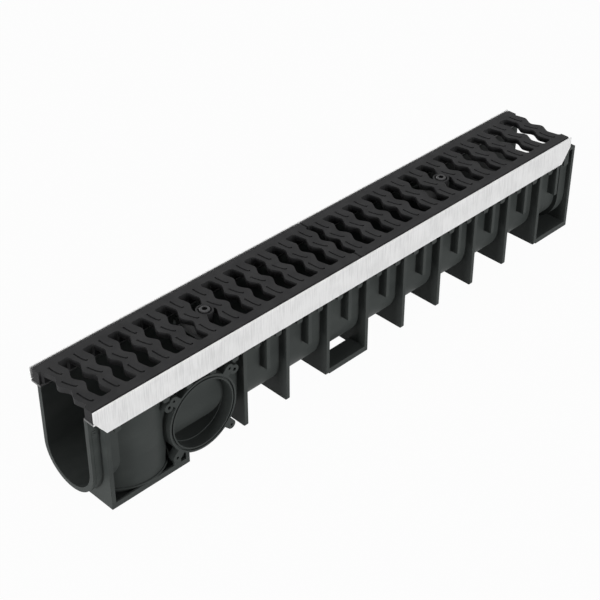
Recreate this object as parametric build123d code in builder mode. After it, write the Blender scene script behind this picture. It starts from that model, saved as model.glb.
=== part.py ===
from build123d import *
from math import radians, tan
import os

# Channel drain, one metre long: a moulded ribbed trough, two steel edge rails and
# two cast gratings with wavy slots, each held down by a bolt through a crossbar.
# Millimetres, +Z up, X along the channel. The side outlet faces -Y and the collar
# that plugs into the next channel's socket faces -X. The base stands on Z = 0.

# Channel length and height
laying_length = 1000.0
collar_length = 17.0
grating_top = 180.0
bay_count = 12
half_width = 65.8

# Trough section: a U with a round bottom, set in from the outside of the ribs
side_depth = 20.3
trough_wall = 5.4
trough_axis_height = 63.4
flange_thickness = 4.0
membrane = 2.0

# Cross ribs, short ribs and rail support blocks
end_plate = 6.8
rib = 6.4
rib_corner = 3.0
first_full_rib = 3
short_rib_drop = 101.0
blocks_per_bay = 2
block_width = 11.0
block_drop = 53.0
block_corner = 2.0
sleeve_block_gap = 32.0

# Feet
foot_thickness = 9.5
foot_strip = 32.0
near_foot_length = 138.0
middle_foot_index = 5

# Collar and socket at the two ends
collar_wall = 7.6
collar_bead = 1.0
bead_width = 6.0
bead_setback = 5.0
bead_drop = 42.0
collar_clearance = 0.6
socket_wall = 3.4
socket_depth = 18.0
socket_step = 6.5
snap_drop = 50.0
snap_setback = 8.5
snap_width = 7.0
snap_height = 9.0
snap_corner = 2.0
snap_nib = 1.2
snap_clearance = 0.5
snap_cap = 2.4

# Bottom outlet under the near end
bottom_outlet_x = 68.5
bottom_outlet_radius = 63.6
bottom_bore_radius = 57.0
outlet_stop = 1.4

# Side outlet spigot with its screw lugs
spigot_x = 166.2
spigot_height = 71.6
spigot_radius = 61.3
spigot_bore_radius = 53.5
spigot_groove_radius = 56.9
spigot_groove = 2.4
spigot_groove_depth = 3.0
spigot_proud = 1.2
lug_spacing = 101.0
lug_radius = 7.2
lug_root = 0.12
lug_depth = 12.0
lug_hole_radius = 2.1
lug_hole_depth = 10.0
ear_reach = 8.9
ear_drop = 5.9
ear_radius = 7.4
ear_hole_radius = 2.7
lug_web = 12.0

# Edge rails
rail_leg = 2.0
rail_leg_height = 43.2
rail_ledge = 3.0
rail_clearance = 0.2
rail_cut_length = 19.0
rail_cut_drop = 17.5
rail_edge_round = 0.8

# Gratings
grating_depth = 20.0
grating_gap = 1.4
grating_side_gap = 2.3
grating_corner = 2.0
grating_edge = 1.0
grating_seat_overlap = 0.5
land_depth = 9.0
grating_count = 2
whole_slot_count = 11
slot_pitch = 42.2
slot_width = 19.0
slot_overrun = 2.7
slot_corner = 2.6
end_slot_width = 13.0
wave_half_period = 17.5
wave_slope = 30.0
wave_round = 9.4
slot_end_shift = 0.8
boss_radius = 13.0
counterbore_radius = 10.0
counterbore_depth = 8.0

# Bolts and crossbars
bolt_radius = 5.0
bolt_hole_clearance = 1.0
head_radius = 8.0
head_height = 10.0
head_round = 1.0
hex_key = 8.0
hex_depth = 5.0
thread_clearance = 0.1
bolt_tip = 3.0
crossbar_drop = 38.0
crossbar_width = 30.0
crossbar_thickness = 6.0
crossbar_end_clearance = 0.5
crossbar_corner = 4.0
crossbar_boss_radius = 10.0
crossbar_boss_height = 6.0
hook_length = 40.0
hook_reach = 5.0
hook_height = 8.0

# Stations along the channel
front_x = -(laying_length + collar_length) / 2
plate_x = front_x + collar_length
far_x = plate_x + laying_length
bay = laying_length / bay_count
grating_pitch = laying_length / grating_count
grating_mids = [front_x + (k + 0.5) * grating_pitch for k in range(grating_count)]
outlet_x = plate_x + bottom_outlet_x
side_outlet_x = plate_x + spigot_x
near_foot_end_x = plate_x + near_foot_length

# Heights
seat_height = grating_top - grating_depth
body_top = seat_height - rail_ledge
crossbar_top = grating_top - crossbar_drop

# Widths worked outwards
trough_radius = half_width - side_depth
trough_outer = trough_radius + trough_wall
knock_out_radius = trough_radius + membrane
collar_outer = trough_radius + collar_wall
bead_outer = collar_outer + collar_bead
socket_inner = bead_outer + collar_clearance
socket_outer = socket_inner + socket_wall
spigot_face = half_width + spigot_proud
rail_inner = half_width + rail_clearance
rail_outer = rail_inner + rail_leg
grating_half_width = rail_inner - grating_side_gap
ledge_inner = trough_radius + grating_seat_overlap

# Outlet bores, each down to the stop in front of its knock-out membrane
spigot_bore_depth = spigot_face - knock_out_radius
bottom_bore_depth = trough_axis_height - knock_out_radius

full_rib_stations = [plate_x + k * bay for k in range(first_full_rib, bay_count + 1)]
short_rib_stations = [plate_x + (k + 0.5) * bay for k in range(first_full_rib, bay_count)]
block_pitch = bay / blocks_per_bay
block_stations = [x for x in [plate_x + (k + 0.5) * block_pitch
                              for k in range(bay_count * blocks_per_bay)]
                  if abs(x - outlet_x) > sleeve_block_gap]
sides = (-1, 1)


def draw_trough(radius, top):
    # U section on the open sketch: a round bottom about the trough axis, straight walls above
    with Locations((0, trough_axis_height)):
        Circle(radius)
    with Locations((0, (trough_axis_height + top) / 2)):
        Rectangle(2 * radius, top - trough_axis_height)


def draw_rib(top):
    # cross plate over the full width with rounded lower corners
    with Locations((0, top / 2)):
        RectangleRounded(2 * half_width, top, rib_corner)
    with Locations((0, top - rib_corner)):
        Rectangle(2 * half_width, 2 * rib_corner)


def both_sides(stations, reach):
    return [(x, side * reach) for x in stations for side in sides]


with BuildPart() as channel_body:
    # Trough wall with the flange that carries the rails
    with BuildSketch(Plane.YZ.offset(plate_x)):
        draw_trough(trough_outer, body_top)
        with Locations((0, body_top - flange_thickness / 2)):
            Rectangle(2 * half_width, flange_thickness)
    extrude(amount=laying_length)

    # Near end plate and full cross ribs, the last one closing the far end
    with BuildSketch(Plane.YZ.offset(plate_x)):
        draw_rib(body_top)
    extrude(amount=end_plate)
    with BuildSketch(*[Plane.YZ.offset(x - rib) for x in full_rib_stations]):
        draw_rib(body_top)
    extrude(amount=rib)

    # Rib under the inner end of the near foot, up to the trough axis
    with BuildSketch(Plane.YZ.offset(near_foot_end_x - rib)):
        draw_rib(trough_axis_height)
    extrude(amount=rib)

    # Plain side behind the outlets: the rib that the spigot replaces in front
    with BuildSketch(Plane.YZ.offset(side_outlet_x - rib)):
        with Locations((half_width / 2, body_top / 2)):
            Rectangle(half_width, body_top)
    extrude(amount=rib)

    # Base plates under the near end and the last bay, two strips under a middle bay
    with BuildSketch(Plane.XY):
        with Locations((plate_x + near_foot_length / 2, 0)):
            Rectangle(near_foot_length, 2 * half_width)
        with Locations((far_x - bay / 2, 0)):
            Rectangle(bay, 2 * half_width)
        with Locations(*both_sides([plate_x + (middle_foot_index + 0.5) * bay],
                                   half_width - foot_strip / 2)):
            Rectangle(bay, foot_strip)
    extrude(amount=foot_thickness)

    # Bottom outlet sleeve and side outlet spigot
    with BuildSketch(Plane.XY):
        with Locations((outlet_x, 0)):
            Circle(bottom_outlet_radius)
    extrude(amount=body_top)
    with BuildSketch(Plane.XZ.offset(spigot_face)):
        with Locations((side_outlet_x, spigot_height)):
            Circle(spigot_radius)
    extrude(amount=-spigot_face)

    # Screw lugs round the spigot: four corners, and an ear beside each upper one
    corner_lugs = [(side_outlet_x + sx * lug_spacing / 2, spigot_height + sz * lug_spacing / 2)
                   for sx in sides for sz in sides]
    ears = [(side_outlet_x + sx * (lug_spacing / 2 + ear_reach),
             spigot_height + lug_spacing / 2 - ear_drop) for sx in sides]
    with BuildSketch(Plane.XZ.offset(spigot_face)):
        for lug_x, lug_z in corner_lugs:
            root = (lug_x + lug_root * (side_outlet_x - lug_x),
                    lug_z + lug_root * (spigot_height - lug_z))
            SlotCenterPoint(root, (lug_x, lug_z), 2 * lug_radius)
        with Locations(*ears):
            Circle(ear_radius)
        with Locations((corner_lugs[0][0], corner_lugs[0][1] / 2)):
            Rectangle(lug_web, corner_lugs[0][1])
    extrude(amount=-lug_depth)

    # Collar with its sealing bead, and the wider socket that takes the next collar
    with BuildSketch(Plane.YZ.offset(front_x)):
        draw_trough(collar_outer, body_top)
    extrude(amount=collar_length)
    with BuildSketch(Plane.YZ.offset(front_x + bead_setback)):
        draw_trough(bead_outer, grating_top - bead_drop)
    extrude(amount=bead_width)
    with BuildSketch(Plane.YZ.offset(far_x - socket_depth - socket_step)):
        draw_trough(socket_outer, body_top)
    extrude(amount=socket_depth + socket_step)

    # Bores of the two outlets, narrower behind the stop
    with BuildSketch(Plane.XY):
        with Locations((outlet_x, 0)):
            Circle(bottom_bore_radius)
    extrude(amount=bottom_bore_depth, mode=Mode.SUBTRACT)
    with BuildSketch(Plane.XY):
        with Locations((outlet_x, 0)):
            Circle(bottom_bore_radius - outlet_stop)
    extrude(amount=trough_axis_height, mode=Mode.SUBTRACT)
    with BuildSketch(Plane.XZ.offset(spigot_face)):
        with Locations((side_outlet_x, spigot_height)):
            Circle(spigot_bore_radius)
    extrude(amount=-spigot_bore_depth, mode=Mode.SUBTRACT)
    with BuildSketch(Plane.XZ.offset(spigot_face)):
        with Locations((side_outlet_x, spigot_height)):
            Circle(spigot_bore_radius - outlet_stop)
    extrude(amount=-spigot_face, mode=Mode.SUBTRACT)
    with BuildSketch(Plane.XZ.offset(spigot_face)):
        with Locations((side_outlet_x, spigot_height)):
            Circle(spigot_groove_radius + spigot_groove / 2)
            Circle(spigot_groove_radius - spigot_groove / 2, mode=Mode.SUBTRACT)
    extrude(amount=-spigot_groove_depth, mode=Mode.SUBTRACT)

    # Screw holes in the lugs
    with BuildSketch(Plane.XZ.offset(spigot_face)):
        with Locations(*corner_lugs):
            Circle(lug_hole_radius)
        with Locations(*ears):
            Circle(ear_hole_radius)
    extrude(amount=-lug_hole_depth, mode=Mode.SUBTRACT)

    # Thin knock-out membrane that closes both outlets along the trough
    with BuildSketch(Plane.YZ.offset(plate_x)):
        draw_trough(knock_out_radius, body_top)
    extrude(amount=spigot_x + spigot_radius)

    # Inside of the trough and of the socket
    with BuildSketch(Plane.YZ.offset(front_x)):
        draw_trough(trough_radius, body_top)
    extrude(amount=collar_length + laying_length, mode=Mode.SUBTRACT)
    with BuildSketch(Plane.YZ.offset(far_x - socket_depth)):
        draw_trough(socket_inner, body_top)
    extrude(amount=socket_depth, mode=Mode.SUBTRACT)

    # Short ribs halfway between the full ones
    with BuildSketch(Plane.XY.offset(grating_top - short_rib_drop)):
        with Locations(*both_sides(short_rib_stations, half_width - side_depth / 2)):
            Rectangle(rib, side_depth)
    extrude(amount=body_top - grating_top + short_rib_drop)

    # Blocks behind the rail legs
    block_height = body_top - grating_top + block_drop
    with BuildSketch(*[Plane.XZ.offset(side * (half_width - side_depth / 2))
                       for side in sides]) as block_face:
        with Locations(*[(x, body_top - block_height / 2) for x in block_stations]):
            Rectangle(block_width, block_height)
        chamfer(block_face.vertices().group_by(Axis.Y)[0], block_corner)
    extrude(amount=side_depth / 2, both=True)

    # Capped snap pockets in the socket and the nibs on the collar that fit them
    with BuildSketch(*[Plane.XZ.offset(side * socket_outer) for side in sides]) as cap:
        with Locations((far_x - snap_setback, grating_top - snap_drop)):
            Rectangle(snap_width + 2 * snap_cap, snap_height + 2 * snap_cap)
        chamfer(cap.vertices(), snap_corner)
    extrude(amount=snap_cap, both=True)
    with BuildSketch(Plane.XZ.offset(socket_outer)) as window:
        with Locations((far_x - snap_setback, grating_top - snap_drop)):
            Rectangle(snap_width + snap_clearance, snap_height + snap_clearance)
        chamfer(window.vertices(), snap_corner)
    extrude(amount=-2 * socket_outer, mode=Mode.SUBTRACT)
    with BuildSketch(*[Plane.XZ.offset(side * collar_outer) for side in sides]) as nib:
        with Locations((plate_x - snap_setback, grating_top - snap_drop)):
            Rectangle(snap_width, snap_height)
        chamfer(nib.vertices(), snap_corner)
    extrude(amount=collar_bead + snap_nib, both=True)

    # Hooks inside the trough that the crossbars pull up against
    with BuildSketch(Plane.XY.offset(crossbar_top)):
        with Locations(*both_sides(grating_mids,
                                   trough_radius + (trough_wall - hook_reach) / 2)):
            Rectangle(hook_length, hook_reach + trough_wall)
    extrude(amount=hook_height)
channel_body.part.label = "channel_body"


with BuildPart() as edge_rail_front:
    # Section: an upright leg outside the body and a ledge that carries the gratings
    with BuildSketch(Plane.YZ.offset(front_x)):
        with BuildLine():
            FilletPolyline((-rail_outer, grating_top),
                           (-rail_inner, grating_top),
                           (-rail_inner, seat_height),
                           (-ledge_inner, seat_height),
                           (-ledge_inner, body_top),
                           (-rail_inner, body_top),
                           (-rail_inner, grating_top - rail_leg_height),
                           (-rail_outer, grating_top - rail_leg_height),
                           radius=[rail_edge_round, 0, 0, 0, 0, 0, 0, 0], close=True)
        make_face()
    extrude(amount=laying_length)
    # Slanting cuts at the lower corners of the leg
    with BuildSketch(Plane.XZ.offset(rail_outer)):
        for end, inward in ((front_x, 1), (front_x + laying_length, -1)):
            with BuildLine():
                Polyline((end, grating_top - rail_cut_drop),
                         (end + inward * rail_cut_length, grating_top - rail_leg_height),
                         (end, grating_top - rail_leg_height), close=True)
            make_face()
    extrude(amount=-rail_leg, mode=Mode.SUBTRACT)
edge_rail_front.part.label = "edge_rail_front"

with BuildPart() as edge_rail_back:
    add(mirror(edge_rail_front.part, about=Plane.XZ, mode=Mode.PRIVATE))
edge_rail_back.part.label = "edge_rail_back"


def slot_side(side, width):
    # one long edge of a wavy slot about the slot's own middle, from its +Y end to its -Y end
    swing = wave_half_period / 2 * tan(radians(wave_slope))
    end_y = trough_radius + slot_overrun
    edge = side * width / 2
    cut = edge - side * slot_corner
    bends = [(edge + swing, 1.5), (edge - swing, 0.5), (edge + swing, -0.5), (edge - swing, -1.5)]
    corners = [(cut + slot_end_shift, end_y), (edge + slot_end_shift, end_y - slot_corner)]
    corners += [(x, k * wave_half_period) for x, k in bends]
    corners += [(edge - slot_end_shift, slot_corner - end_y), (cut - slot_end_shift, -end_y)]
    return corners, [0, 0] + [wave_round] * len(bends) + [0, 0]


def slot_outline(width):
    # closed outline of one wavy slot with its corners cut off, as points and their radii
    right, right_radii = slot_side(1, width)
    left, left_radii = slot_side(-1, width)
    return right + left[::-1], right_radii + left_radii[::-1]


def make_grating(mid_x):
    length = grating_pitch - grating_gap
    whole_slots = [mid_x + (k - whole_slot_count // 2) * slot_pitch
                   for k in range(whole_slot_count)]
    end_slots = [mid_x + side * grating_pitch / 2 for side in sides]
    with BuildPart() as grating:
        # Frame of the casting with an eased top edge
        with BuildSketch(Plane.XY.offset(seat_height)):
            with Locations((mid_x, 0)):
                RectangleRounded(length, 2 * grating_half_width, grating_corner)
        extrude(amount=grating_depth)
        chamfer(grating.faces().sort_by(Axis.Z)[-1].edges(), grating_edge)
        # Underside relief between the two seats
        with BuildSketch(Plane.XY.offset(seat_height)):
            with Locations((mid_x, 0)):
                Rectangle(length, 2 * trough_radius)
        extrude(amount=grating_depth - land_depth, mode=Mode.SUBTRACT)
        # Wavy slots, whole ones between the ends and a half one at each end
        for stations, width in ((whole_slots, slot_width), (end_slots, end_slot_width)):
            corners, radii = slot_outline(width)
            with BuildSketch() as slot:
                with BuildLine():
                    FilletPolyline(*corners, radius=radii, close=True)
                make_face()
            with BuildSketch(Plane.XY.offset(seat_height)):
                with Locations(*[(x, 0) for x in stations]):
                    add(slot.sketch)
            extrude(amount=grating_depth, mode=Mode.SUBTRACT)
        # Bolt boss in the middle slot
        with BuildSketch(Plane.XY.offset(seat_height)):
            with Locations((mid_x, 0)):
                Circle(boss_radius)
        extrude(amount=grating_depth)
        with Locations((mid_x, 0, grating_top)):
            CounterBoreHole(bolt_radius + bolt_hole_clearance, counterbore_radius,
                            counterbore_depth)
    return grating.part


def make_crossbar(mid_x):
    with BuildPart() as crossbar:
        with BuildSketch(Plane.XY.offset(crossbar_top)) as bar_face:
            with Locations((mid_x, 0)):
                Rectangle(crossbar_width, 2 * (trough_radius - crossbar_end_clearance))
            chamfer(bar_face.vertices(), crossbar_corner)
        extrude(amount=-crossbar_thickness)
        with BuildSketch(Plane.XY.offset(crossbar_top - crossbar_thickness)):
            with Locations((mid_x, 0)):
                Circle(crossbar_boss_radius)
        extrude(amount=-crossbar_boss_height)
        with Locations((mid_x, 0, crossbar_top)):
            Hole(bolt_radius + thread_clearance)
    return crossbar.part


def make_bolt(mid_x):
    head_seat = grating_top - counterbore_depth
    shank = head_seat - crossbar_top + crossbar_thickness + crossbar_boss_height + bolt_tip
    with BuildPart() as bolt:
        with BuildSketch(Plane.XY.offset(head_seat)):
            with Locations((mid_x, 0)):
                Circle(head_radius)
        extrude(amount=head_height)
        chamfer(bolt.faces().sort_by(Axis.Z)[-1].edges(), head_round)
        with BuildSketch(Plane.XY.offset(head_seat + head_height)):
            with Locations((mid_x, 0)):
                RegularPolygon(hex_key / 2, 6, major_radius=False)
        extrude(amount=-hex_depth, mode=Mode.SUBTRACT)
        with BuildSketch(Plane.XY.offset(head_seat)):
            with Locations((mid_x, 0)):
                Circle(bolt_radius)
        extrude(amount=-shank)
    return bolt.part


pieces = [channel_body.part, edge_rail_front.part, edge_rail_back.part]
for end, mid_x in zip(("near", "far"), grating_mids):
    for kind, make in (("grating", make_grating), ("crossbar", make_crossbar),
                       ("grating_bolt", make_bolt)):
        piece = make(mid_x)
        piece.label = f"{kind}_{end}"
        pieces.append(piece)

os.makedirs("parts", exist_ok=True)
for piece in pieces:
    export_step(piece, f"parts/{piece.label}.step")
    print(piece.label, piece.is_valid, round(piece.volume), len(piece.solids()))
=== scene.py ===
import bmesh
import bpy
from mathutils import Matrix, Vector


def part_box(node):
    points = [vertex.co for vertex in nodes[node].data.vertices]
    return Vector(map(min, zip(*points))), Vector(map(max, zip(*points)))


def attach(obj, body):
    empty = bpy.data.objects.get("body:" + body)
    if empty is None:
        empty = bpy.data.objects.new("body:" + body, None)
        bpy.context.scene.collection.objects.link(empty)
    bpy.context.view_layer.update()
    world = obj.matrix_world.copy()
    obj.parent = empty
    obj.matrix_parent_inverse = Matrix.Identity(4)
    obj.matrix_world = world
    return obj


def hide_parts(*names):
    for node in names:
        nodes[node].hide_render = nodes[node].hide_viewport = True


# A metre of linear drainage channel on a pale studio floor. The channel lies along X,
# its side outlet faces -Y and the floor is at Z = 0. Everything is in metres.

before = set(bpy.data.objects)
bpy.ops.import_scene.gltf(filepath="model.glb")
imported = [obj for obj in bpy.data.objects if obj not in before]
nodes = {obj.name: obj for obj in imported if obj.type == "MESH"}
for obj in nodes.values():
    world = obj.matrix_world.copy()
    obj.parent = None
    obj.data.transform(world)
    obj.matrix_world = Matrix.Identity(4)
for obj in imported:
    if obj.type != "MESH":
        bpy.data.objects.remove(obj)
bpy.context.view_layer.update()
print("frame loaded:", len(nodes), "nodes")


# small helpers for node trees

def addSocket(tree, name, way, kind, value=None):
    socket = tree.interface.new_socket(name=name, in_out=way, socket_type=kind)
    if value is not None:
        socket.default_value = value
    return socket


def addNode(tree, kind, inputs=None, **settings):
    # one node with its settings, and its inputs as values or as sockets to link from
    node = tree.nodes.new(kind)
    for key, value in settings.items():
        setattr(node, key, value)
    for key, value in (inputs or {}).items():
        if isinstance(value, bpy.types.NodeSocket):
            tree.links.new(value, node.inputs[key])
        else:
            node.inputs[key].default_value = value
    return node


def mathNode(tree, operation, first, second=None, third=None):
    inputs = {0: first}
    if second is not None:
        inputs[1] = second
    if third is not None:
        inputs[2] = third
    return addNode(tree, "ShaderNodeMath", inputs, operation=operation).outputs[0]


def newMaterial(name):
    material = bpy.data.materials.new(name)
    material.use_nodes = True
    tree = material.node_tree
    tree.nodes.clear()
    output = tree.nodes.new("ShaderNodeOutputMaterial")
    return material, tree, output


def finishNode(nodeName, material):
    slots = nodes[nodeName].data.materials
    slots.clear()
    slots.append(material)


# copies of CAD meshes that take finer detail

def mergedCopy(nodeName, name):
    # the CAD mesh of one node with its loose triangles joined, since cutting needs a closed mesh
    mesh = nodes[nodeName].data.copy()
    mesh.name = name
    shape = bmesh.new()
    shape.from_mesh(mesh)
    bmesh.ops.remove_doubles(shape, verts=shape.verts, dist=0.00001)
    shape.to_mesh(mesh)
    shape.free()
    piece = bpy.data.objects.new(name, mesh)
    bpy.context.scene.collection.objects.link(piece)
    return piece


def setInputs(modifier, values):
    for socket in modifier.node_group.interface.items_tree:
        if socket.in_out == "INPUT" and socket.name in values:
            modifier[socket.identifier] = values[socket.name]


def settle(piece, creaseAngle=0.5):
    # the modifier's result as the piece's own mesh, smooth but for edges past creaseAngle radians
    graph = bpy.context.evaluated_depsgraph_get()
    mesh = bpy.data.meshes.new_from_object(piece.evaluated_get(graph))
    piece.modifiers.clear()
    piece.data = mesh
    shape = bmesh.new()
    shape.from_mesh(mesh)
    for face in shape.faces:
        face.smooth = True
    for edge in shape.edges:
        edge.smooth = len(edge.link_faces) == 2 and edge.calc_face_angle() < creaseAngle
    shape.to_mesh(mesh)
    shape.free()


# shared finishes

def buildSurfaceGrain():
    # fine grain with a slow drift over it: a 0..1 value for colour, and a height for bump
    tree = bpy.data.node_groups.new("surfaceGrain", "ShaderNodeTree")
    addSocket(tree, "Grain Size", "INPUT", "NodeSocketFloat", 0.0012)
    addSocket(tree, "Drift Size", "INPUT", "NodeSocketFloat", 0.06)
    addSocket(tree, "Stretch", "INPUT", "NodeSocketVector", (1, 1, 1))
    addSocket(tree, "Drift", "OUTPUT", "NodeSocketFloat")
    addSocket(tree, "Grain", "OUTPUT", "NodeSocketFloat")
    groupIn = tree.nodes.new("NodeGroupInput")
    groupOut = tree.nodes.new("NodeGroupOutput")
    place = addNode(tree, "ShaderNodeTexCoord").outputs["Object"]
    stretched = addNode(tree, "ShaderNodeVectorMath", {0: place, 1: groupIn.outputs["Stretch"]},
                        operation="MULTIPLY").outputs[0]
    grainScale = mathNode(tree, "DIVIDE", 1.0, groupIn.outputs["Grain Size"])
    driftScale = mathNode(tree, "DIVIDE", 1.0, groupIn.outputs["Drift Size"])
    grain = addNode(tree, "ShaderNodeTexNoise",
                    {"Vector": stretched, "Scale": grainScale, "Detail": 2.0, "Roughness": 0.6})
    drift = addNode(tree, "ShaderNodeTexNoise",
                    {"Vector": stretched, "Scale": driftScale, "Detail": 3.0, "Roughness": 0.5})
    tree.links.new(drift.outputs["Fac"], groupOut.inputs["Drift"])
    tree.links.new(grain.outputs["Fac"], groupOut.inputs["Grain"])
    return tree


surfaceGrain = buildSurfaceGrain()


def grainIn(tree, grainSize, driftSize, stretch=(1, 1, 1)):
    group = addNode(tree, "ShaderNodeGroup", node_tree=surfaceGrain)
    group.inputs["Grain Size"].default_value = grainSize
    group.inputs["Drift Size"].default_value = driftSize
    group.inputs["Stretch"].default_value = stretch
    return group.outputs["Drift"], group.outputs["Grain"]


def rampBetween(tree, value, low, high, start=0.35, end=0.65):
    ramp = addNode(tree, "ShaderNodeValToRGB", {"Fac": value})
    ramp.color_ramp.elements[0].position = start
    ramp.color_ramp.elements[1].position = end
    ramp.color_ramp.elements[0].color = (*low, 1)
    ramp.color_ramp.elements[1].color = (*high, 1)
    return ramp.outputs["Color"]


def rangeOf(tree, value, low, high):
    return addNode(tree, "ShaderNodeMapRange",
                   {"Value": value, "From Min": 0.3, "From Max": 0.7, "To Min": low,
                    "To Max": high}).outputs["Result"]


def grainBump(tree, grain, look, normal=None):
    inputs = {"Height": grain, "Strength": look["bumpStrength"], "Distance": look["bumpDepth"]}
    if normal is not None:
        inputs["Normal"] = normal
    return addNode(tree, "ShaderNodeBump", inputs).outputs[0]


# moulded plastic body

plasticLook = dict(dark=(0.049, 0.055, 0.053), light=(0.065, 0.072, 0.069),
                   roughLow=0.46, roughHigh=0.60, edgeRound=0.0007, gloss=0.10,
                   grainSize=0.0009, driftSize=0.045, stretch=(0.35, 1, 1),
                   bumpStrength=0.12, bumpDepth=0.0002)


def buildMouldedPlastic():
    look = plasticLook
    material, tree, output = newMaterial("mouldedPlastic")
    drift, grain = grainIn(tree, look["grainSize"], look["driftSize"], look["stretch"])
    edge = addNode(tree, "ShaderNodeBevel", {"Radius": look["edgeRound"]}, samples=4)
    bump = grainBump(tree, grain, look, edge.outputs[0])
    shader = addNode(tree, "ShaderNodeBsdfPrincipled",
                     {"Base Color": rampBetween(tree, drift, look["dark"], look["light"]),
                      "Roughness": rangeOf(tree, drift, look["roughLow"], look["roughHigh"]),
                      "Normal": bump, "Specular IOR Level": look["gloss"]})
    tree.links.new(shader.outputs[0], output.inputs["Surface"])
    return material


# near foot of the body: shallow pockets in its corners, a bead round the outlet sleeve,
# and the web under the side outlet's lug cut flush with the foot

footLook = dict(plateTop=0.0095, sleeveMiddle=(-0.4230, 0.0), sleeveRadius=0.0636,
                pocketLow=(-0.4845, -0.0628), pocketHigh=(-0.3602, 0.0628), pocketDepth=0.0060,
                wall=0.0014, coreHeight=0.1, beadRadius=0.0017, beadOffset=0.00084,
                ringSides=96, beadSides=8, webMiddle=-0.3758, webWidth=0.0134,
                webFace=-0.0658, webDepth=0.01, webHeight=0.0136)


def buildFootDetail():
    look = footLook
    tree = bpy.data.node_groups.new("footDetail", "GeometryNodeTree")
    addSocket(tree, "Body", "INPUT", "NodeSocketGeometry")
    addSocket(tree, "Sleeve Radius", "INPUT", "NodeSocketFloat", look["sleeveRadius"])
    addSocket(tree, "Pocket Depth", "INPUT", "NodeSocketFloat", look["pocketDepth"])
    addSocket(tree, "Bead Radius", "INPUT", "NodeSocketFloat", look["beadRadius"])
    addSocket(tree, "Finish", "INPUT", "NodeSocketMaterial")
    addSocket(tree, "Body", "OUTPUT", "NodeSocketGeometry")
    groupIn = tree.nodes.new("NodeGroupInput").outputs
    groupOut = tree.nodes.new("NodeGroupOutput")
    low, high, top = look["pocketLow"], look["pocketHigh"], look["plateTop"]
    # a block over the whole foot less the sleeve's cylinder, which leaves the four corners
    middle = ((low[0] + high[0]) / 2, (low[1] + high[1]) / 2, top)
    height = mathNode(tree, "MULTIPLY", groupIn["Pocket Depth"], 2.0)
    size = addNode(tree, "ShaderNodeCombineXYZ",
                   {"X": high[0] - low[0], "Y": high[1] - low[1], "Z": height})
    pocket = addNode(tree, "GeometryNodeMeshCube", {"Size": size.outputs[0]})
    pocketAt = addNode(tree, "GeometryNodeTransform",
                       {"Geometry": pocket.outputs["Mesh"], "Translation": middle})
    core = addNode(tree, "GeometryNodeMeshCylinder",
                   {"Vertices": look["ringSides"], "Depth": look["coreHeight"],
                    "Radius": mathNode(tree, "ADD", groupIn["Sleeve Radius"], look["wall"])})
    sleeveAt = (*look["sleeveMiddle"], top)
    coreAt = addNode(tree, "GeometryNodeTransform",
                     {"Geometry": core.outputs["Mesh"], "Translation": sleeveAt})
    pocketCut = addNode(tree, "GeometryNodeMeshBoolean", {"Mesh 1": pocketAt.outputs[0]},
                        operation="DIFFERENCE", solver="EXACT")
    tree.links.new(coreAt.outputs[0], pocketCut.inputs["Mesh 2"])
    web = addNode(tree, "GeometryNodeMeshCube",
                  {"Size": (look["webWidth"], look["webDepth"], 2 * look["webHeight"])})
    webAt = addNode(tree, "GeometryNodeTransform",
                    {"Geometry": web.outputs["Mesh"],
                     "Translation": (look["webMiddle"],
                                     look["webFace"] - look["webDepth"] / 2, 0.0)})
    carved = addNode(tree, "GeometryNodeMeshBoolean", {"Mesh 1": groupIn["Body"]},
                     operation="DIFFERENCE", solver="EXACT")
    for cutter in (webAt.outputs[0], pocketCut.outputs["Mesh"]):
        tree.links.new(cutter, carved.inputs["Mesh 2"])
    ring = addNode(tree, "GeometryNodeCurvePrimitiveCircle",
                   {"Resolution": look["ringSides"],
                    "Radius": mathNode(tree, "ADD", groupIn["Sleeve Radius"],
                                       look["beadOffset"])})
    bead = addNode(tree, "GeometryNodeCurvePrimitiveCircle",
                   {"Resolution": look["beadSides"], "Radius": groupIn["Bead Radius"]})
    tube = addNode(tree, "GeometryNodeCurveToMesh",
                   {"Curve": ring.outputs["Curve"], "Profile Curve": bead.outputs["Curve"]})
    tubeAt = addNode(tree, "GeometryNodeTransform",
                     {"Geometry": tube.outputs["Mesh"], "Translation": sleeveAt})
    joined = tree.nodes.new("GeometryNodeJoinGeometry")
    for part in (tubeAt.outputs[0], carved.outputs["Mesh"]):
        tree.links.new(part, joined.inputs[0])
    whole = addNode(tree, "GeometryNodeRealizeInstances", {"Geometry": joined.outputs[0]})
    finished = addNode(tree, "GeometryNodeSetMaterial",
                       {"Geometry": whole.outputs[0], "Material": groupIn["Finish"]})
    tree.links.new(finished.outputs[0], groupOut.inputs[0])
    return tree


mouldedPlastic = buildMouldedPlastic()
finishNode("channel_body", mouldedPlastic)
body = mergedCopy("channel_body", "channel_body_detailed")
modifier = body.modifiers.new("footDetail", "NODES")
modifier.node_group = buildFootDetail()
setInputs(modifier, {"Sleeve Radius": footLook["sleeveRadius"],
                     "Pocket Depth": footLook["pocketDepth"],
                     "Bead Radius": footLook["beadRadius"], "Finish": mouldedPlastic})
settle(body)
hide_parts("channel_body")
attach(body, "root")
print("channel body done:", len(body.data.polygons), "faces")


# galvanised edge rails

# the darkest grey here is painted shade for the ledge under the gratings and the leg's inside face
railLook = dict(dark=(0.82, 0.82, 0.82), light=(0.98, 0.98, 0.98), paintedLedgeShade=(0.16, 0.16, 0.16),
                roughLow=0.46, roughHigh=0.60, metallic=0.20, grainSize=0.0011,
                streakSize=0.0011, stretch=(1, 0.03, 0.03), patchSize=0.030, patchShare=0.35,
                contrast=(0.38, 0.56), bumpStrength=0.10, bumpDepth=0.0001,
                ledgeTop=0.1603, legInside=0.0658)


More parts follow.
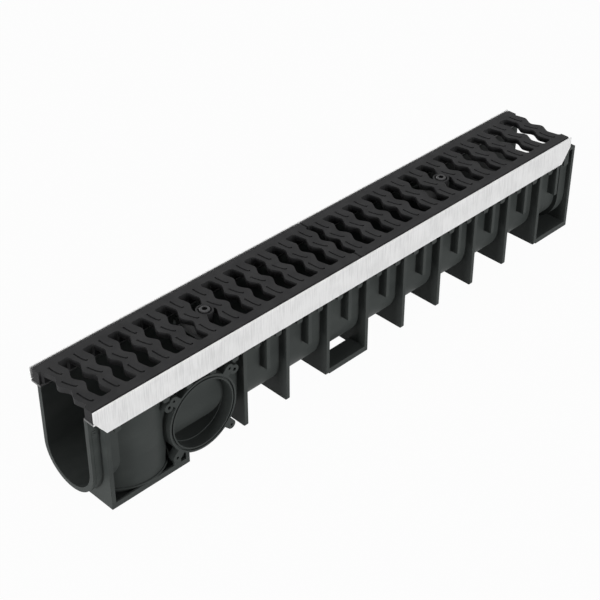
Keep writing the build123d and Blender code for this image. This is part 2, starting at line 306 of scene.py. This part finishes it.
def buildGalvanisedRail():
    # sheet steel whose rolling grain runs up the leg, so the streaks are upright
    look = railLook
    material, tree, output = newMaterial("galvanisedRail")
    drift, grain = grainIn(tree, look["grainSize"], look["streakSize"], look["stretch"])
    patch = grainIn(tree, look["grainSize"], look["patchSize"])[0]
    streaks = mathNode(tree, "MULTIPLY", drift, 1 - look["patchShare"])
    mixed = mathNode(tree, "MULTIPLY_ADD", patch, look["patchShare"], streaks)
    bump = grainBump(tree, grain, look)
    # the ledge under the gratings and the inside face of the leg get a dark grey: painted shade
    # where the gratings keep the light off, so the metal there does not mirror the white surround
    place = addNode(tree, "ShaderNodeSeparateXYZ",
                    {0: addNode(tree, "ShaderNodeTexCoord").outputs["Object"]})
    inside = mathNode(tree, "LESS_THAN", mathNode(tree, "ABSOLUTE", place.outputs["Y"]),
                      look["legInside"])
    ledgeShadeMask = mathNode(tree, "MULTIPLY", inside,
                       mathNode(tree, "LESS_THAN", place.outputs["Z"], look["ledgeTop"]))
    brushed = rampBetween(tree, mixed, look["dark"], look["light"], *look["contrast"])
    colour = addNode(tree, "ShaderNodeMix", {0: ledgeShadeMask, 6: brushed, 7: (*look["paintedLedgeShade"], 1)},
                     data_type="RGBA")
    shader = addNode(tree, "ShaderNodeBsdfPrincipled",
                     {"Base Color": colour.outputs[2],
                      "Roughness": rangeOf(tree, drift, look["roughLow"], look["roughHigh"]),
                      "Normal": bump, "Metallic": look["metallic"]})
    tree.links.new(shader.outputs[0], output.inputs["Surface"])
    return material


galvanisedRail = buildGalvanisedRail()
for rail in ("edge_rail_front", "edge_rail_back"):
    finishNode(rail, galvanisedRail)
print("edge rails done")


# cast gratings

ironLook = dict(dark=(0.024, 0.024, 0.025), light=(0.037, 0.037, 0.038),
                roughLow=0.52, roughHigh=0.68, edgeRound=0.0008, gloss=0.12,
                grainSize=0.0008, driftSize=0.03, bumpStrength=0.22, bumpDepth=0.0003)


def buildGratingIron():
    look = ironLook
    material, tree, output = newMaterial("gratingIron")
    drift, grain = grainIn(tree, look["grainSize"], look["driftSize"])
    edge = addNode(tree, "ShaderNodeBevel", {"Radius": look["edgeRound"]}, samples=4)
    bump = grainBump(tree, grain, look, edge.outputs[0])
    shader = addNode(tree, "ShaderNodeBsdfPrincipled",
                     {"Base Color": rampBetween(tree, drift, look["dark"], look["light"]),
                      "Roughness": rangeOf(tree, grain, look["roughLow"], look["roughHigh"]),
                      "Normal": bump, "Specular IOR Level": look["gloss"]})
    tree.links.new(shader.outputs[0], output.inputs["Surface"])
    return material


# short bent grooves in the lands between the slots, three to a land: each is a Bezier stroke
# given by its start, two handles and end, as X and Y from the land's middle

grooveLook = dict(landPitch=0.0422, landCount=12, width=0.0030, depth=0.0018, sides=8, steps=8,
                  upper=((-0.0010, 0.0485), (-0.0020, 0.0390),
                         (0.0008, 0.0195), (0.0046, 0.0262)),
                  middle=((-0.0062, 0.0130), (-0.0050, 0.0040),
                          (0.0008, -0.0135), (0.0032, -0.0075)),
                  lower=((-0.0066, -0.0200), (-0.0072, -0.0300),
                         (-0.0052, -0.0530), (0.0008, -0.0455)))


def buildGrooves():
    # cuts the grooves of one grating into its top, from one land's set laid along the lands
    look = grooveLook
    tree = bpy.data.node_groups.new("landGrooves", "GeometryNodeTree")
    addSocket(tree, "Grating", "INPUT", "NodeSocketGeometry")
    addSocket(tree, "Middle", "INPUT", "NodeSocketVector")
    addSocket(tree, "Land Pitch", "INPUT", "NodeSocketFloat", look["landPitch"])
    addSocket(tree, "Land Count", "INPUT", "NodeSocketInt", look["landCount"])
    addSocket(tree, "Width", "INPUT", "NodeSocketFloat", look["width"])
    addSocket(tree, "Depth", "INPUT", "NodeSocketFloat", look["depth"])
    addSocket(tree, "Finish", "INPUT", "NodeSocketMaterial")
    addSocket(tree, "Grating", "OUTPUT", "NodeSocketGeometry")
    groupIn = tree.nodes.new("NodeGroupInput").outputs
    groupOut = tree.nodes.new("NodeGroupOutput")
    # a round profile whose middle is raised so that it reaches down by the depth alone
    lift = mathNode(tree, "SUBTRACT", mathNode(tree, "MULTIPLY", groupIn["Width"], 0.5),
                    groupIn["Depth"])
    profile = addNode(tree, "GeometryNodeCurvePrimitiveCircle",
                      {"Resolution": look["sides"],
                       "Radius": mathNode(tree, "MULTIPLY", groupIn["Width"], 0.5)})
    joined = tree.nodes.new("GeometryNodeJoinGeometry")
    for stroke in ("lower", "middle", "upper"):
        start, first, second, end = look[stroke]
        path = addNode(tree, "GeometryNodeCurvePrimitiveBezierSegment",
                       {"Resolution": look["steps"], "Start": (*start, 0),
                        "Start Handle": (*first, 0), "End Handle": (*second, 0),
                        "End": (*end, 0)})
        tube = addNode(tree, "GeometryNodeCurveToMesh",
                       {"Curve": path.outputs["Curve"], "Profile Curve": profile.outputs["Curve"],
                        "Fill Caps": True})
        tree.links.new(tube.outputs["Mesh"], joined.inputs[0])
    half = mathNode(tree, "MULTIPLY", mathNode(tree, "SUBTRACT", groupIn["Land Count"], 1.0), -0.5)
    firstLand = addNode(tree, "ShaderNodeCombineXYZ",
                        {"X": mathNode(tree, "MULTIPLY", half, groupIn["Land Pitch"]), "Z": lift})
    start = addNode(tree, "ShaderNodeVectorMath",
                    {0: groupIn["Middle"], 1: firstLand.outputs[0]}, operation="ADD")
    step = addNode(tree, "ShaderNodeCombineXYZ", {"X": groupIn["Land Pitch"]})
    lands = addNode(tree, "GeometryNodeMeshLine",
                    {"Count": groupIn["Land Count"], "Start Location": start.outputs[0],
                     "Offset": step.outputs[0]}, mode="OFFSET")
    laid = addNode(tree, "GeometryNodeInstanceOnPoints",
                   {"Points": lands.outputs["Mesh"], "Instance": joined.outputs[0]})
    cutters = addNode(tree, "GeometryNodeRealizeInstances", {"Geometry": laid.outputs[0]})
    cut = addNode(tree, "GeometryNodeMeshBoolean", {"Mesh 1": groupIn["Grating"]},
                  operation="DIFFERENCE", solver="EXACT")
    tree.links.new(cutters.outputs[0], cut.inputs["Mesh 2"])
    whole = addNode(tree, "GeometryNodeRealizeInstances", {"Geometry": cut.outputs["Mesh"]})
    finished = addNode(tree, "GeometryNodeSetMaterial",
                       {"Geometry": whole.outputs[0], "Material": groupIn["Finish"]})
    tree.links.new(finished.outputs[0], groupOut.inputs[0])
    return tree


gratingIron = buildGratingIron()
landGrooves = buildGrooves()
for grating in ("grating_near", "grating_far"):
    finishNode(grating, gratingIron)
    piece = mergedCopy(grating, grating + "_grooved")
    low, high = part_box(grating)
    modifier = piece.modifiers.new("grooves", "NODES")
    modifier.node_group = landGrooves
    setInputs(modifier, {"Middle": ((low[0] + high[0]) / 2, 0, high[2]),
                         "Land Pitch": grooveLook["landPitch"],
                         "Land Count": grooveLook["landCount"],
                         "Width": grooveLook["width"], "Depth": grooveLook["depth"],
                         "Finish": gratingIron})
    settle(piece)
    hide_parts(grating)
    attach(piece, "root")
    print(grating, "grooved:", len(piece.data.polygons), "faces")


# crossbars and bolts

platedGrain = dict(grainSize=0.0006, driftSize=0.012, bumpStrength=0.15, bumpDepth=0.0001)
barLook = dict(dark=(0.052, 0.054, 0.054), light=(0.088, 0.089, 0.089), roughLow=0.42,
               roughHigh=0.6, metallic=0.5, **platedGrain)
boltLook = dict(dark=(0.032, 0.032, 0.033), light=(0.056, 0.056, 0.058), roughLow=0.36,
                roughHigh=0.52, metallic=0.5, **platedGrain)


def buildPlatedSteel(name, look):
    material, tree, output = newMaterial(name)
    drift, grain = grainIn(tree, look["grainSize"], look["driftSize"])
    bump = grainBump(tree, grain, look)
    shader = addNode(tree, "ShaderNodeBsdfPrincipled",
                     {"Base Color": rampBetween(tree, drift, look["dark"], look["light"]),
                      "Roughness": rangeOf(tree, grain, look["roughLow"], look["roughHigh"]),
                      "Normal": bump, "Metallic": look["metallic"]})
    tree.links.new(shader.outputs[0], output.inputs["Surface"])
    return material


barSteel = buildPlatedSteel("barSteel", barLook)
boltSteel = buildPlatedSteel("boltSteel", boltLook)
for end in ("near", "far"):
    finishNode("crossbar_" + end, barSteel)
    finishNode("grating_bolt_" + end, boltSteel)
print("crossbars and bolts done")


# floor, lights and camera

studio = dict(floorSize=14.0, floorColour=(0.45, 0.45, 0.45), floorGlow=0.97, worldStrength=0.14,
              keyPlace=(0.30, -5.0, 1.15), keySize=1.8, keyPower=121.0,
              topPlace=(0.2, 0.6, 3.0), topSize=2.4, topPower=26.0,
              endPlace=(-3.2, -0.12, 0.40), endSize=1.2, endPower=56.0,
              backPlace=(0.4, 5.0, 1.2), backSize=2.0, backPower=55.0,
              lampAim=(0, 0, 0.1))
camera = dict(place=(-1.33796, -1.27798, 1.40349), aim=(-0.06102, 0.01096, 0.090),
              lens=89.341, sensor=36, clip=(0.05, 60))


def whiteRays(tree):
    # 1 where a ray comes from the camera, a gloss or through glass, for a white surround
    path = addNode(tree, "ShaderNodeLightPath")
    first = mathNode(tree, "MAXIMUM", path.outputs["Is Camera Ray"], path.outputs["Is Glossy Ray"])
    return mathNode(tree, "MAXIMUM", first, path.outputs["Is Transmission Ray"])


def buildFloor():
    size = studio["floorSize"] / 2
    mesh = bpy.data.meshes.new("floor")
    corners = [(-size, -size, 0), (size, -size, 0), (size, size, 0), (-size, size, 0)]
    mesh.from_pydata(corners, [], [(0, 1, 2, 3)])
    floor = bpy.data.objects.new("floor", mesh)
    bpy.context.scene.collection.objects.link(floor)
    material, tree, output = newMaterial("paleFloor")
    matte = addNode(tree, "ShaderNodeBsdfDiffuse", {"Color": (*studio["floorColour"], 1)})
    glow = addNode(tree, "ShaderNodeEmission", {"Color": (1, 1, 1, 1), "Strength": 1.0})
    share = mathNode(tree, "MULTIPLY", whiteRays(tree), studio["floorGlow"])
    mix = addNode(tree, "ShaderNodeMixShader", {0: share, 1: matte.outputs[0], 2: glow.outputs[0]})
    tree.links.new(mix.outputs[0], output.inputs["Surface"])
    mesh.materials.append(material)


def buildWorld():
    world = bpy.data.worlds.new("studioWorld")
    world.use_nodes = True
    tree = world.node_tree
    tree.nodes.clear()
    output = tree.nodes.new("ShaderNodeOutputWorld")
    soft = addNode(tree, "ShaderNodeBackground",
                   {"Color": (1, 1, 1, 1), "Strength": studio["worldStrength"]})
    white = addNode(tree, "ShaderNodeBackground", {"Color": (1, 1, 1, 1), "Strength": 1.0})
    mix = addNode(tree, "ShaderNodeMixShader",
                  {0: whiteRays(tree), 1: soft.outputs[0], 2: white.outputs[0]})
    tree.links.new(mix.outputs[0], output.inputs["Surface"])
    bpy.context.scene.world = world


def aimAt(thing, place, target):
    thing.location = place
    thing.rotation_mode = "QUATERNION"
    thing.rotation_quaternion = (Vector(target) - Vector(place)).to_track_quat("-Z", "Y")


def addSoftLight(side):
    lamp = bpy.data.lights.new(side + "Light", "AREA")
    lamp.shape = "DISK"
    lamp.size = studio[side + "Size"]
    lamp.energy = studio[side + "Power"]
    light = bpy.data.objects.new(side + "Light", lamp)
    bpy.context.scene.collection.objects.link(light)
    aimAt(light, studio[side + "Place"], studio["lampAim"])


def buildCamera():
    lens = bpy.data.cameras.new("photoCamera")
    lens.sensor_width = camera["sensor"]
    lens.lens = camera["lens"]
    lens.clip_start, lens.clip_end = camera["clip"]
    view = bpy.data.objects.new("photoCamera", lens)
    bpy.context.scene.collection.objects.link(view)
    aimAt(view, camera["place"], camera["aim"])
    bpy.context.scene.camera = view


buildFloor()
buildWorld()
for side in ("key", "top", "end", "back"):
    addSoftLight(side)
buildCamera()
bpy.context.scene.view_settings.view_transform = "Standard"
print("studio and camera done")
